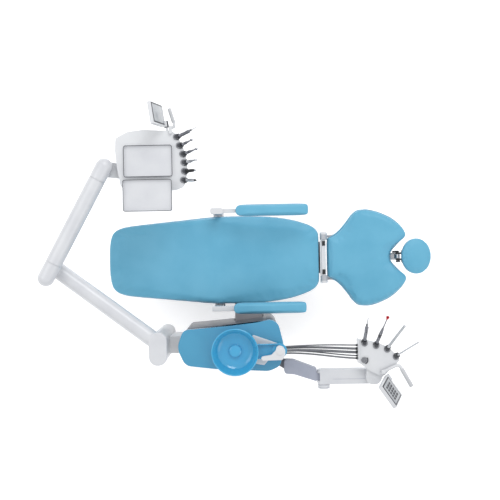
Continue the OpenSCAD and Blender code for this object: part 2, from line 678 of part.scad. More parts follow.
base_plate();
base_bracket();
base_cover();
lift_arm();
lift_actuator();
tie_bar();
carriage_frame();
seat_shell();
seat_cushion();
unit_bridge();
unit_frame();
unit_housing();
unit_top();
arm_column();
faucet();
armrest_left_bracket();
armrest_left_pad();
armrest_right_post();
armrest_right_arm();
armrest_right_pad();
back_hinge();
back_frame();
back_shell();
back_cushion();
headrest_bar();
headrest_bracket();
headrest_cushion();
headrest_lever();
cuspidor_bowl();
delivery_arm();
elbow_housing();
spring_arm();
spring_arm_cover();
level_rod();
arm_end_housing();
delivery_head();
tray_one();
tray_holder();
tray_two();
delivery_display();
delivery_handle();
delivery_holders();
delivery_syringe();
turbine_one();
turbine_two();
micromotor();
scaler();
polisher();
assist_link();
assist_arm();
assist_knob();
assist_head();
assist_display();
assist_handle();
assist_holders();
assist_syringe();
curing_light();
suction_large();
saliva_ejector();
hose_bundle();
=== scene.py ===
"""Dental chair with a chair-mounted treatment unit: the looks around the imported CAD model.

Every length is in metres, in the CAD model's frame: +X from the feet to the head, +Y to the patient's right.
"""

import json
import math

import bmesh
import bpy
from mathutils import Matrix, Vector
from mathutils.bvhtree import BVHTree


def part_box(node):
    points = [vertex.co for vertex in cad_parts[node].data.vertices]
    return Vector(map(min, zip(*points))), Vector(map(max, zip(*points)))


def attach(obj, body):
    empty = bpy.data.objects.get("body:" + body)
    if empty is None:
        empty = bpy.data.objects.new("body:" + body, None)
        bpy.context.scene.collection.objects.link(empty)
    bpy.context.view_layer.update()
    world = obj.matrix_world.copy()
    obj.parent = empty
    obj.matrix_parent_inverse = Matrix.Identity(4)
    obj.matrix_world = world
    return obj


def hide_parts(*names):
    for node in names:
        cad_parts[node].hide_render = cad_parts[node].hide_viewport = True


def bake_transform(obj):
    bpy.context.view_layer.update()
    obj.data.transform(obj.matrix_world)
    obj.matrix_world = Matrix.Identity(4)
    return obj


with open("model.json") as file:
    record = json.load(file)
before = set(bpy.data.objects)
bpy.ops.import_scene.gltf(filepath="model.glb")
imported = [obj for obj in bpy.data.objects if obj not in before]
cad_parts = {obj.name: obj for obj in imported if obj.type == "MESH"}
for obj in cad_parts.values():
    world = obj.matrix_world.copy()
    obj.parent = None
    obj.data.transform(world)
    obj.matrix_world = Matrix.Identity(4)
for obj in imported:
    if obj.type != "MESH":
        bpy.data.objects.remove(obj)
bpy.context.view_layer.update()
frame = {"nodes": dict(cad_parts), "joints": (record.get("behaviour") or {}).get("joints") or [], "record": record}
NODES = frame["nodes"]
JOINTS = {joint["name"]: joint for joint in frame["joints"]}
BODY_OF = {node: body for body, nodes in frame["record"]["behaviour"]["bodies"].items() for node in nodes}
SLOT_OF = {part["node"]: part["material_slot"] for part in frame["record"]["subparts"]}
UP = Vector((0, 0, 1))
WORLD = Matrix.Identity(4)
MM = 0.001
WELD = 2e-5   # vertices closer than this are one vertex


# ---------------------------------------------------------------- small helpers

def linked(name, data):
    """A new object in the scene."""
    obj = bpy.data.objects.new(name, data)
    bpy.context.scene.collection.objects.link(obj)
    return obj


def mix(a, b, share):
    return a + (b - a) * share


def smoothstep(t):
    return t * t * (3 - 2 * t)


def circle(count):
    """Angles once round."""
    return [2 * math.pi * k / count for k in range(count)]


def in_metres(profile):
    return [(r * MM, h * MM) for r, h in profile]


# ---------------------------------------------------------------- camera, floor and light

def srgb(red, green, blue):
    """A linear colour from screen values of 0 to 255."""
    def linear(value):
        share = value / 255
        return share / 12.92 if share <= 0.04045 else ((share + 0.055) / 1.055) ** 2.4
    return (linear(red), linear(green), linear(blue), 1.0)


def make_camera():
    data = bpy.data.cameras.new("camera")
    data.lens = 51.84
    data.sensor_width = 36
    data.clip_end = 60
    camera = linked("camera", data)
    camera.location = (-0.100, 0.056, 5.0)
    camera.rotation_euler = (0, 0, math.radians(-1.08))
    bpy.context.scene.camera = camera


def area_light(name, place, target, size, power):
    data = bpy.data.lights.new(name, "AREA")
    data.shape = "DISK"
    data.size = size
    data.energy = power
    light = linked(name, data)
    light.location = place
    light.rotation_euler = (Vector(target) - Vector(place)).to_track_quat("-Z", "Y").to_euler()


def make_light():
    world = bpy.data.worlds.new("studio")
    world.use_nodes = True
    background = world.node_tree.nodes["Background"]
    background.inputs["Color"].default_value = (1, 1, 1, 1)
    background.inputs["Strength"].default_value = 0.85
    bpy.context.scene.world = world
    middle = (-0.2, 0, 0.6)
    area_light("key_light", (0.9, 3.6, 4.6), middle, 2.8, 80)
    area_light("fill_light", (-3.4, 0.6, 4.2), middle, 3.0, 34)
    area_light("side_light", (3.2, -2.4, 4.4), middle, 3.0, 34)
    bpy.context.scene.view_settings.view_transform = "Standard"


# ---------------------------------------------------------------- materials

def material(name, colour, second=None, patch=14.0, rough=(0.35, 0.45), grain=0.0, grain_size=900.0,
             cells=False, **shader):
    """A procedural material: two colours in soft patches, uneven roughness and a fine surface grain.

    shader sets the surface's own sockets, such as Metallic or Coat Weight.
    """
    made = bpy.data.materials.new(name)
    made.use_nodes = True
    nodes, links = made.node_tree.nodes, made.node_tree.links
    surface = nodes["Principled BSDF"]
    place = nodes.new("ShaderNodeTexCoord")
    clouds = nodes.new("ShaderNodeTexNoise")
    clouds.inputs["Scale"].default_value = patch
    clouds.inputs["Detail"].default_value = 4
    links.new(place.outputs["Object"], clouds.inputs["Vector"])
    colours = nodes.new("ShaderNodeValToRGB")
    colours.color_ramp.elements[0].position = 0.35
    colours.color_ramp.elements[1].position = 0.65
    colours.color_ramp.elements[0].color = second or tuple(0.93 * value for value in colour[:3]) + (1,)
    colours.color_ramp.elements[1].color = colour
    links.new(clouds.outputs["Fac"], colours.inputs["Fac"])
    links.new(colours.outputs["Color"], surface.inputs["Base Color"])
    uneven = nodes.new("ShaderNodeMapRange")
    uneven.inputs["To Min"].default_value = rough[0]
    uneven.inputs["To Max"].default_value = rough[1]
    links.new(clouds.outputs["Fac"], uneven.inputs["Value"])
    links.new(uneven.outputs["Result"], surface.inputs["Roughness"])
    if grain:
        if cells:
            fine = nodes.new("ShaderNodeTexVoronoi")
            fine.feature = "DISTANCE_TO_EDGE"
            height = fine.outputs["Distance"]
        else:
            fine = nodes.new("ShaderNodeTexNoise")
            fine.inputs["Detail"].default_value = 3
            height = fine.outputs["Fac"]
        fine.inputs["Scale"].default_value = grain_size
        links.new(place.outputs["Object"], fine.inputs["Vector"])
        bump = nodes.new("ShaderNodeBump")
        bump.inputs["Strength"].default_value = grain
        bump.inputs["Distance"].default_value = 0.0006
        links.new(height, bump.inputs["Height"])
        links.new(bump.outputs["Normal"], surface.inputs["Normal"])
    for socket, value in shader.items():
        surface.inputs[socket.replace("_", " ")].default_value = value
    return made


def make_materials():
    return {
        "leather": material("sky_blue_leather", srgb(97, 169, 199), srgb(88, 162, 193), 5, (0.42, 0.52),
                            0.35, 420, True, Sheen_Weight=0.15, Sheen_Roughness=0.4),
        "welt": material("blue_welt", srgb(82, 148, 176), srgb(74, 138, 167), 30, (0.45, 0.55), 0.3, 900),
        "white": material("white_moulded_plastic", srgb(211, 213, 216), srgb(205, 207, 211), 6, (0.25, 0.33),
                          0.04, 1500, Coat_Weight=0.3, Coat_Roughness=0.15),
        "enamel": material("arm_enamel", srgb(206, 208, 212), srgb(199, 201, 206), 8, (0.28, 0.38),
                           0.06, 1800, Coat_Weight=0.4, Coat_Roughness=0.2),
        "grip": material("soft_grip", srgb(196, 198, 201), srgb(188, 190, 194), 20, (0.45, 0.55), 0.12, 1500),
        "light_grey": material("light_grey_plastic", srgb(205, 208, 212), srgb(197, 200, 205), 12,
                               (0.35, 0.45), 0.08, 1600),
        "blue": material("unit_blue_plastic", srgb(66, 147, 183), srgb(58, 139, 177), 4, (0.2, 0.28),
                         0.03, 1200, Coat_Weight=0.5, Coat_Roughness=0.1),
        "glass": material("blue_glass", srgb(74, 174, 218), srgb(68, 168, 214), 9, (0.05, 0.1),
                          Transmission_Weight=0.12, IOR=1.46, Coat_Weight=0.4),
        "link": material("link_grey_plastic", srgb(158, 163, 177), srgb(150, 155, 170), 10, (0.4, 0.5),
                         0.1, 1500),
        "steel": material("brushed_steel", srgb(196, 198, 202), srgb(180, 183, 188), 60, (0.22, 0.36),
                          0.08, 2200, Metallic=1.0),
        "tray": material("tray_finish", srgb(208, 210, 214), srgb(202, 204, 209), 9, (0.3, 0.38), 0.05,
                         1800, Metallic=0.1),
        "chrome": material("polished_metal", srgb(150, 152, 158), srgb(132, 134, 141), 90, (0.16, 0.28),
                           0.03, 2500, Metallic=1.0),
        "side_grey": material("side_panel_plastic", srgb(112, 116, 123), srgb(105, 109, 116), 6, (0.3, 0.4),
                              0.05, 1500, Coat_Weight=0.2),
        "collar": material("holder_grey_plastic", srgb(138, 140, 145), srgb(126, 128, 133), 30, (0.35, 0.45),
                           0.1, 1500),
        "bridge_grey": material("bridge_plastic", srgb(150, 149, 153), srgb(142, 141, 146), 8, (0.35, 0.45),
                                0.08, 1300),
        "frame": material("frame_paint", srgb(120, 124, 132), srgb(108, 112, 120), 18, (0.4, 0.55), 0.15,
                          900, Metallic=0.2),
        "silver_paint": material("silver_paint", srgb(182, 185, 190), srgb(172, 175, 181), 20,
                                 (0.35, 0.48), 0.12, 1100, Metallic=0.3),
        "dark": material("dark_plastic", srgb(70, 72, 77), srgb(60, 62, 67), 30, (0.4, 0.5), 0.12, 1500),
        "black": material("black_rubber", srgb(34, 35, 38), srgb(27, 28, 31), 40, (0.45, 0.6), 0.25, 1300),
        "hose": material("hose_rubber", srgb(112, 114, 119), srgb(100, 102, 107), 40, (0.4, 0.5), 0.15, 1400),
        "screen": material("screen_glass", srgb(166, 170, 174), srgb(157, 161, 166), 25, (0.2, 0.28),
                           Coat_Weight=0.2),
        "red": material("red_silicone", srgb(196, 30, 44), srgb(182, 24, 38), 60, (0.3, 0.4), 0.05, 2000),
        "clear": material("milky_plastic", srgb(196, 200, 204), srgb(187, 191, 196), 30, (0.2, 0.3),
                          Transmission_Weight=0.12, IOR=1.45),
    }


# ---------------------------------------------------------------- mesh building

def new_object(name, vertices, faces):
    mesh = bpy.data.meshes.new(name)
    mesh.from_pydata([tuple(v) for v in vertices], [], faces)
    return linked(name, mesh)


def from_grid(name, grid):
    """An object made from a bmesh, which is then freed."""
    mesh = bpy.data.meshes.new(name)
    grid.to_mesh(mesh)
    grid.free()
    return linked(name, mesh)


def tidy_normals(obj, sharp=35):
    """Normals outward, smooth shading, and sharp edges above that angle in degrees."""
    grid = bmesh.new()
    grid.from_mesh(obj.data)
    bmesh.ops.recalc_face_normals(grid, faces=grid.faces)
    grid.to_mesh(obj.data)
    grid.free()
    obj.data.shade_smooth()
    obj.data.set_sharp_from_angle(angle=math.radians(sharp))
    return obj


def finish_piece(obj, look, body, nodes=(), sharp=35):
    """Gives a piece its material and body, and hides the CAD nodes that it stands for."""
    tidy_normals(obj, sharp)
    obj.data.materials.clear()
    obj.data.materials.append(LOOKS[look])
    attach(obj, body)
    if nodes:
        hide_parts(*nodes)
    return obj


def loft(name, rings, caps=True, closed=False):
    """A skin over rings of equal length; closed joins the last ring to the first."""
    count = len(rings[0])
    faces = []
    for i in range(len(rings) if closed else len(rings) - 1):
        j = (i + 1) % len(rings)
        for k in range(count):
            n = (k + 1) % count
            faces.append((i * count + k, i * count + n, j * count + n, j * count + k))
    if caps and not closed:
        faces.append(tuple(range(count)))
        faces.append(tuple((len(rings) - 1) * count + k for k in range(count)))
    return new_object(name, [v for ring in rings for v in ring], faces)


def frame_at(place, axis, side=UP):
    """A frame whose Z is axis, with X square to it and to side."""
    z = Vector(axis).normalized()
    x = Vector(side).cross(z)
    x = x.normalized() if x.length > 1e-6 else Vector((1, 0, 0))
    y = z.cross(x)
    return Matrix.Translation(place) @ Matrix((x, y, z)).transposed().to_4x4()


def lathe(name, profile, place, axis=UP, sides=40, hollow=False):
    """A turned piece: profile is (radius, height) from the start to the end of axis.

    hollow joins the profile's end to its start, for a ring or a sleeve.
    """
    local = frame_at(place, axis)
    least = 1e-5   # no ring closes to a point
    rings = []
    for radius, height in profile:
        radius = max(radius, least)
        rings.append([local @ Vector((radius * math.cos(t), radius * math.sin(t), height))
                      for t in circle(sides)])
    return loft(name, rings, closed=hollow)


def tube(name, points, radii, sides=16, closed=False):
    """A round tube along points, with one radius or one for each point."""
    points = [Vector(p) for p in points]
    if not isinstance(radii, (list, tuple)):
        radii = [radii] * len(points)
    rings, side = [], None
    last = len(points) - 1
    for i, point in enumerate(points):
        before = points[i - 1] if i or closed else point
        after = points[(i + 1) % len(points)] if i < last or closed else point
        along = (after - before).normalized()
        if side is None:
            side = along.orthogonal().normalized()
        side = (side - along * side.dot(along)).normalized()
        other = along.cross(side)
        rings.append([point + radii[i] * (side * math.cos(t) + other * math.sin(t)) for t in circle(sides)])
    return loft(name, rings, closed=closed)


def block(name, local, low, high, edge, segments=3):
    """A box with rounded edges in the frame local."""
    grid = bmesh.new()
    bmesh.ops.create_cube(grid, size=1)
    low, high = Vector(low), Vector(high)
    for vertex in grid.verts:
        vertex.co = Vector([low[i] + (vertex.co[i] + 0.5) * (high[i] - low[i]) for i in range(3)])
    bmesh.ops.bevel(grid, geom=grid.edges[:], offset=edge, segments=segments, profile=0.5, affect="EDGES")
    grid.transform(local)
    return from_grid(name, grid)


def join(name, parts):
    """One object from several."""
    grid = bmesh.new()
    for part in parts:
        part.data.transform(part.matrix_world)
        grid.from_mesh(part.data)
        bpy.data.objects.remove(part)
    return from_grid(name, grid)


def apply_modifiers(obj):
    graph = bpy.context.evaluated_depsgraph_get()
    mesh = bpy.data.meshes.new_from_object(obj.evaluated_get(graph))
    obj.modifiers.clear()
    obj.data = mesh
    return obj


def cad_copy(node, name):
    """A clean copy of a CAD node's mesh: vertices joined and flat areas made whole."""
    grid = bmesh.new()
    grid.from_mesh(NODES[node].data)
    bmesh.ops.remove_doubles(grid, verts=grid.verts, dist=WELD)
    bmesh.ops.dissolve_limit(grid, angle_limit=math.radians(0.4), verts=grid.verts, edges=grid.edges)
    return from_grid(name, grid)


def softened(node, look, width, name=None, segments=3, corner=32):
    """A CAD node with its edges rounded."""
    obj = cad_copy(node, name or node + "_shell")
    bevel = obj.modifiers.new("round", "BEVEL")
    bevel.width = width
    bevel.segments = segments
    bevel.limit_method = "ANGLE"
    bevel.angle_limit = math.radians(corner)
    bevel.use_clamp_overlap = True
    apply_modifiers(obj)
    return finish_piece(obj, look, BODY_OF[node], nodes=[node])


def moulded(node, look, voxel, rounds, name=None):
    """A CAD node as one soft casting: its edges and inner corners flow together."""
    obj = cad_copy(node, name or node + "_casting")
    remesh = obj.modifiers.new("even", "REMESH")
    remesh.mode = "VOXEL"
    remesh.voxel_size = voxel
    smooth = obj.modifiers.new("flow", "SMOOTH")
    smooth.factor = 0.5
    smooth.iterations = rounds
    apply_modifiers(obj)
    return finish_piece(obj, look, BODY_OF[node], nodes=[node], sharp=180)


def dress(look, *nodes):
    """CAD nodes that keep their own mesh and get a material."""
    for node in nodes:
        data = NODES[node].data
        data.materials.clear()
        data.materials.append(LOOKS[look])


# ---------------------------------------------------------------- cushions

def side_loop(node, step=0.008):
    """Evenly spaced points round a cushion's upright sides: (place in plan, low height, high height)."""
    heights = {}
    mesh = NODES[node].data
    for face in mesh.polygons:
        if abs(face.normal.z) < 0.05:
            for index in face.vertices:
                x, y, z = mesh.vertices[index].co
                key = (round(x, 4), round(y, 4))
                low, high = heights.get(key, (z, z))
                heights[key] = (min(low, z), max(high, z))
    low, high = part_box(node)
    centre = (low + high) / 2
    corners = sorted(heights, key=lambda p: math.atan2(p[1] - centre.y, p[0] - centre.x))
    corners = [p for p in corners if heights[p][1] - heights[p][0] > 0.02]
    loop = []
    for i, a in enumerate(corners):
        b = corners[(i + 1) % len(corners)]
        start, end = Vector((*a, 0)), Vector((*b, 0))
        count = max(1, round((end - start).length / step))
        for k in range(count):
            share = k / count
            loop.append((mix(start, end, share), mix(heights[a][0], heights[b][0], share),
                         mix(heights[a][1], heights[b][1], share)))
    return loop


def simulate(obj, cap):
    """Fills a closed skin like a foam cushion; its underside stays on its board.

    No point ends further than cap from where it was.
    """
    frames = 20
    rest = [v.co.copy() for v in obj.data.vertices]
    held = obj.vertex_groups.new(name="held")
    held.add([v.index for v in obj.data.vertices if v.normal.z < -0.6], 1.0, "REPLACE")
    cloth = obj.modifiers.new("fill", "CLOTH")
    cloth.settings.quality = 4
    cloth.settings.mass = 0.3
    cloth.settings.use_pressure = True
    cloth.settings.uniform_pressure_force = 4
    cloth.settings.vertex_group_mass = "held"
    cloth.settings.effector_weights.gravity = 0
    cloth.collision_settings.use_collision = False
    cloth.collision_settings.use_self_collision = False
    cloth.point_cache.frame_start = 1
    cloth.point_cache.frame_end = frames
    scene = bpy.context.scene
    for step in range(1, frames + 1):
        scene.frame_set(step)
    apply_modifiers(obj)
    scene.frame_set(1)
    for vertex, start in zip(obj.data.vertices, rest):
        move = vertex.co - start
        if move.length > cap:
            vertex.co = start + move * (cap / move.length)
    obj.vertex_groups.clear()


def near_edge(place, edge, reach=0.12):
    """1 at a cushion's edge, easing to 0 at reach inside it."""
    return smoothstep(min(1, max(0, 1 - (place - edge) / reach)))


def cushion(node, voxel, rounds, shrink, cap, seam=0.5, fuller=(0, 0)):
    """A padded cushion in its CAD solid's place, with a welt round its side.

    It is shrunk before it is filled. fuller is how much further its foot end and its left side stand out.
    seam is how far up its side the welt runs.
    """
    obj = cad_copy(node, node + "_upholstery")
    remesh = obj.modifiers.new("even", "REMESH")
    remesh.mode = "VOXEL"
    remesh.voxel_size = voxel
    smooth = obj.modifiers.new("rounding", "SMOOTH")
    smooth.factor = 0.5
    smooth.iterations = rounds
    apply_modifiers(obj)
    low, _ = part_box(node)
    start = [v.co - v.normal * shrink
             - Vector((fuller[0] * near_edge(v.co.x, low.x), fuller[1] * near_edge(v.co.y, low.y), 0))
             for v in obj.data.vertices]
    for vertex, place in zip(obj.data.vertices, start):
        vertex.co = place
    simulate(obj, cap)
    even = obj.modifiers.new("even", "SMOOTH")
    even.factor = 0.5
    even.iterations = 4
    finer = obj.modifiers.new("finer", "SUBSURF")
    finer.levels = 1
    finer.render_levels = 1
    apply_modifiers(obj)
    finish_piece(obj, "leather", BODY_OF[node], nodes=[node], sharp=180)
    welt(obj, node, seam)


def welt(pad, node, share):
    """A sewn piping that runs round a cushion's side, share of the way up."""
    outside, farthest = 0.05, 0.08   # where a ray toward the pad starts, and how far it may go
    tree = BVHTree.FromPolygons([v.co for v in pad.data.vertices], [p.vertices for p in pad.data.polygons])
    loop = side_loop(node)
    count = len(loop)
    points = []
    for i, (place, low, high) in enumerate(loop):
        along = loop[(i + 2) % count][0] - loop[i - 2][0]
        outward = Vector((along.y, -along.x, 0)).normalized()
        start = Vector((place.x, place.y, mix(low, high, share))) + outward * outside
        hit = tree.ray_cast(start, -outward)[0]
        points.append(hit if hit and (hit - start).length < farthest else start - outward * outside)
    for _ in range(4):
        points = [(points[i - 1] + points[i] * 2 + points[(i + 1) % count]) / 4 for i in range(count)]
    finish_piece(tube(node + "_welt", points, 0.0022, 10, closed=True), "welt", BODY_OF[node])


def make_cushions():
    cushion("seat_cushion", voxel=0.0075, rounds=14, shrink=0.001, cap=0.010, fuller=(0.007, 0.008))
    cushion("back_cushion", voxel=0.0065, rounds=14, shrink=0.001, cap=0.010, fuller=(0, 0.008))
    cushion("headrest_cushion", voxel=0.004, rounds=14, shrink=-0.001, cap=0.007, seam=0.42)
    for node in ("armrest_left_pad", "armrest_right_pad"):
        cushion(node, voxel=0.004, rounds=8, shrink=0.0, cap=0.004, seam=0.3)


# ---------------------------------------------------------------- base, lift and seat structure

def bolt_head(name, place, axis, size):
    """A hexagon bolt on its washer, with size as the thread's radius and the head's height."""
    washer = [(0, 0), (1.9, 0), (2, 0.06), (2, 0.2), (1.9, 0.26), (0, 0.26)]
    head = [(0, 0.26), (1.3, 0.26), (1.38, 0.36), (1.38, 1.0), (1.2, 1.14), (0, 1.16)]
    return join(name, [lathe("part", [(size * r, size * h) for r, h in profile], place, axis, sides)
                       for profile, sides in ((washer, 32), (head, 6))])


def make_base():
    softened("base_plate", "frame", 0.003)
    softened("base_bracket", "frame", 0.002)
    softened("base_cover", "white", 0.006, segments=4)
    softened("lift_arm", "silver_paint", 0.0025)
    softened("tie_bar", "silver_paint", 0.003)
    softened("carriage_frame", "silver_paint", 0.002)
    softened("seat_shell", "white", 0.004)
    softened("back_shell", "white", 0.003)
    softened("back_hinge", "white", 0.003)
    softened("back_frame", "silver_paint", 0.002)
    make_back_hinge_trim()
    make_anchor_bolts()
    make_pivot_bolts()
    make_actuator()


def make_anchor_bolts():
    """A bolt in each anchor hole of the floor plate."""
    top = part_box("base_plate")[1].z
    bolts = []
    for mount in frame["record"]["mounts"]:
        if mount["name"] == "floor":
            continue
        middle = Vector(mount["pos_m"])
        spread_x = mount["dims"].get("spacing_x_mm", 0) * MM / 2
        spread_y = mount["dims"]["spacing_y_mm"] * MM / 2
        for x in sorted({-spread_x, spread_x}):
            for y in (-spread_y, spread_y):
                bolts.append(bolt_head("bolt", middle + Vector((x, y, top)), UP, 0.0085))
    finish_piece(join("anchor_bolts", bolts), "steel", "base")


def make_back_hinge_trim():
    """Silver cups round the backrest's pin, black stops beside them and a strip at the seat's edge."""
    pivot = Vector(JOINTS["backrest_recline"]["pos_m"])
    cup_drop = 0.003   # the cups' centre line is this far below the pin's
    sleeve = [(9, 0), (21, 0), (22.6, 2), (22.6, 41), (20.5, 45), (15, 47), (9, 47)]
    strip = block("hinge_strip", WORLD, (0.3385, -0.108, 0.470), (0.3476, 0.108, 0.484), 0.0015)
    finish_piece(strip, "white", "carriage")
    for side, label in ((1, "right"), (-1, "left")):
        place = Vector((pivot.x, side * 0.1118, pivot.z - cup_drop))
        cup = lathe(f"hinge_cup_{label}", in_metres(sleeve), place, (0, side, 0), 40, hollow=True)
        finish_piece(cup, "silver_paint", "backrest")
        near, far = sorted((side * 0.074, side * 0.104))
        stop = block(f"hinge_stop_{label}", WORLD, (0.3515, near, 0.4870), (0.3705, far, 0.4925), 0.0015)
        finish_piece(stop, "black", "carriage")


def make_pivot_bolts():
    """Bolt heads on both ends of the lift's pivot pins."""
    reach = 0.112   # from the middle to a pin's end
    for pin, joint, body, size in (("lift_pin", "lift_raise", "base", 0.010),
                                   ("tie_pin", "tie_follow", "base", 0.008),
                                   ("carriage_pin", "carriage_level", "carriage", 0.010)):
        at = Vector(JOINTS[joint]["pos_m"])
        heads = [bolt_head("head", at + Vector((0, side * reach, 0)), (0, side, 0), size) for side in (-1, 1)]
        finish_piece(join(pin + "_bolts", heads), "steel", body)


def make_actuator():
    """The electric lift actuator: a motor barrel, and its rod under a ribbed gaiter."""
    low = Vector(JOINTS["lift_raise"]["pos_m"])
    high = Vector(JOINTS["carriage_level"]["pos_m"])
    first, middle, last = 0.23, 0.6, 0.782   # barrel's start, gaiter's start and rod's end along the lift arm
    start, end = mix(low, high, first), mix(low, high, last)
    along = (end - start).normalized()
    length = (end - start).length
    split = length * (middle - first) / (last - first)
    profile = [(0, 0), (0.022, 0), (0.026, 0.004), (0.028, 0.012), (0.028, 0.05), (0.0262, 0.054),
               (0.0262, 0.06), (0.028, 0.064), (0.028, split - 0.012), (0.026, split - 0.004),
               (0.022, split), (0.014, split + 0.002)]
    folds = 9
    for fold in range(folds):
        at = split + 0.004 + fold * (length - split - 0.02) / folds
        profile += [(0.0115, at), (0.0175, at + 0.0045)]
    profile += [(0.0115, length - 0.012), (0.012, length - 0.008), (0.012, length), (0, length)]
    actuator = lathe("lift_actuator_body", profile, start, along, 36)
    finish_piece(actuator, "dark", "lift", nodes=["lift_actuator"])


# ---------------------------------------------------------------- headrest

def make_headrest():
    softened("headrest_bar", "steel", 0.0015)
    softened("headrest_bracket", "black", 0.0015)
    softened("headrest_lever", "dark", 0.001)
    cheek = block("headrest_cheek", WORLD, (0.784, 0.0226, 0.514), (0.824, 0.0345, 0.535), 0.003)
    finish_piece(cheek, "black", "headrest")


# ---------------------------------------------------------------- treatment unit

def make_unit():
    softened("unit_bridge", "bridge_grey", 0.010, segments=4)
    softened("unit_frame", "frame", 0.001)
    softened("unit_housing", "side_grey", 0.003)
    softened("unit_top", "blue", 0.0045, segments=4)
    softened("arm_column", "white", 0.006, segments=4)
    moulded("faucet", "white", 0.0022, 8)
    softened("armrest_left_bracket", "white", 0.004)
    softened("armrest_right_post", "white", 0.004)
    softened("armrest_right_arm", "white", 0.004)
    make_bowl()


def make_bowl():
    """The glass bowl with its channel to the faucet, its lip and the drain's cap."""
    low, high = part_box("cuspidor_bowl")
    softened("cuspidor_bowl", "glass", 0.0015, "bowl_glass")
    centre = Vector((low.x + 0.133, low.y + 0.133, 0))
    cap = [(0, 0.867), (0.030, 0.867), (0.0335, 0.869), (0.0345, 0.8735), (0.033, 0.877), (0.027, 0.8795),
           (0.012, 0.8805), (0, 0.8806)]
    finish_piece(lathe("drain_cap", cap, centre, UP, 48), "glass", "bowl")
    rim = [centre + Vector((0.1305 * math.cos(a), 0.1305 * math.sin(a), high.z - 0.001)) for a in circle(96)]
    finish_piece(tube("bowl_lip", rim, 0.0034, 10, closed=True), "glass", "bowl")


# ---------------------------------------------------------------- delivery arm and head

def make_delivery_arm():
    moulded("delivery_arm", "enamel", 0.003, 6)
    dress("enamel", "elbow_housing", "spring_arm_cover", "arm_end_housing")
    softened("spring_arm", "steel", 0.001)
    dress("steel", "level_rod")


def make_delivery_head():
    softened("delivery_head", "white", 0.005, segments=4)
    softened("tray_holder", "steel", 0.001)
    for tray in ("tray_one", "tray_two"):
        softened(tray, "tray", 0.0008)
        # each tray gets a dark ring of painted shade round its rim
        make_tray_shadow_line(tray)
    make_handle("delivery_handle", [(-541, 763, 894.5), (-512, 760, 894.5), (-542, 863, 928)], 0.008, 0.026,
                [(-550, 726, 885), (-532, 772, 903)], 0.0102)
    make_displays()


def make_tray_shadow_line(tray):
    """A dark ring round the tray's rim: painted shade, standing in for the thin shadow line along the rim."""
    low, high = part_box(tray)
    radius, inset = 0.011, 0.0015
    half_x, half_y = (high.x - low.x) / 2 - inset, (high.y - low.y) / 2 - inset
    centre = (low + high) / 2
    points = []
    for turn, sx, sy in ((0, 1, 1), (90, -1, 1), (180, -1, -1), (270, 1, -1)):
        for angle in [math.radians(turn + 15 * k) for k in range(7)]:
            points.append(Vector((centre.x + sx * (half_x - radius) + radius * math.cos(angle),
                                  centre.y + sy * (half_y - radius) + radius * math.sin(angle), high.z)))
    # painted shade: a dark tube where the rim's thin shadow line falls
    shadow_line = tube(tray + "_edging", points, 0.0017, 8, closed=True)
    finish_piece(shadow_line, "dark", BODY_OF[tray])


def pivot_frame(joint, turn, lean, axis):
    """The frame of a panel at its hinge, turned about Z and then leaned back about its own axis."""
    return (Matrix.Translation(JOINTS[joint]["pos_m"]) @ Matrix.Rotation(math.radians(turn), 4, "Z")
            @ Matrix.Rotation(math.radians(lean), 4, axis))


def panel_face(name, body, local, across, low, high, columns=0, rows=0):
    """A bezel, its screen and rows of keys on a panel's front.

    across is the panel's own X or Y axis; low and high are (along, up, depth) corners of the bezel.
    """
    def slab(label, look, near, far, edge):
        ends = [(depth, along, up) if across == "Y" else (along, depth, up)
                for along, up, depth in (near, far)]
        corners = [[pick(pair) for pair in zip(*ends)] for pick in (min, max)]
        finish_piece(block(f"{name}_{label}", local, corners[0], corners[1], edge), look, body)

    rim, sunk = 0.008, 0.0002
    start = (low[0] + rim, low[1] + rim)
    end = (high[0] - rim, high[1] - rim)
    glass = high[2] + 0.0006
    slab("bezel", "dark", low, high, 0.0008)
    slab("screen", "screen", (*start, high[2] - sunk), (*end, glass), 0.0002)
    for column in range(columns):
        for row in range(rows):
            along = [mix(start[0], end[0], mix(0.1, 0.9, (column + part) / columns)) for part in (0.16, 0.84)]
            up = [mix(start[1], end[1], mix(0.14, 0.86, (row + part) / rows)) for part in (0.12, 0.88)]
            slab(f"key_{column}_{row}", "dark", (along[0], up[0], glass - sunk),
                 (along[1], up[1], glass + 0.0008), 0.0003)


def make_displays():
    softened("delivery_display", "white", 0.004, segments=4)
    softened("assist_display", "white", 0.004, segments=4)
    screen = pivot_frame("display_tilt", 8.4, -15, "Y")
    panel = pivot_frame("assist_panel_tilt", -55.25, 30, "X")
    panel_face("delivery", "display", screen, "Y", (-0.004, 0.022, -0.0008), (0.108, 0.184, 0.0012))
    panel_face("assist", "assist_panel", panel, "X", (0.001, 0.016, 0.0072), (0.136, 0.145, 0.0092),
               columns=5, rows=3)
    for joint, look, local, axis, low, high in (
            ("display_tilt", "dark", screen, (0, 1, 0), -0.014, 0.022),
            ("assist_panel_tilt", "light_grey", panel, (1, 0, 0), -0.004, 0.034)):
        along = local.to_3x3() @ Vector(axis)
        length = high - low
        barrel = [(0, 0), (0.012, 0), (0.0138, 0.0015), (0.0138, length - 0.0015), (0.012, length),
                  (0, length)]
        hinge = lathe(joint + "_hinge", barrel, local.translation + along * low, along, 32)
        finish_piece(hinge, look, JOINTS[joint]["child"])


def eased(points, cut, steps=8):
    """A path with its inner corners rounded off over the distance cut."""
    points = [Vector(p) * MM for p in points]
    path = [points[0]]
    for before, corner, after in zip(points, points[1:], points[2:]):
        start = corner + (before - corner).normalized() * cut
        end = corner + (after - corner).normalized() * cut
        path += [mix(mix(start, corner, k / steps), mix(corner, end, k / steps), k / steps)
                 for k in range(steps + 1)]
    return path + [points[-1]]


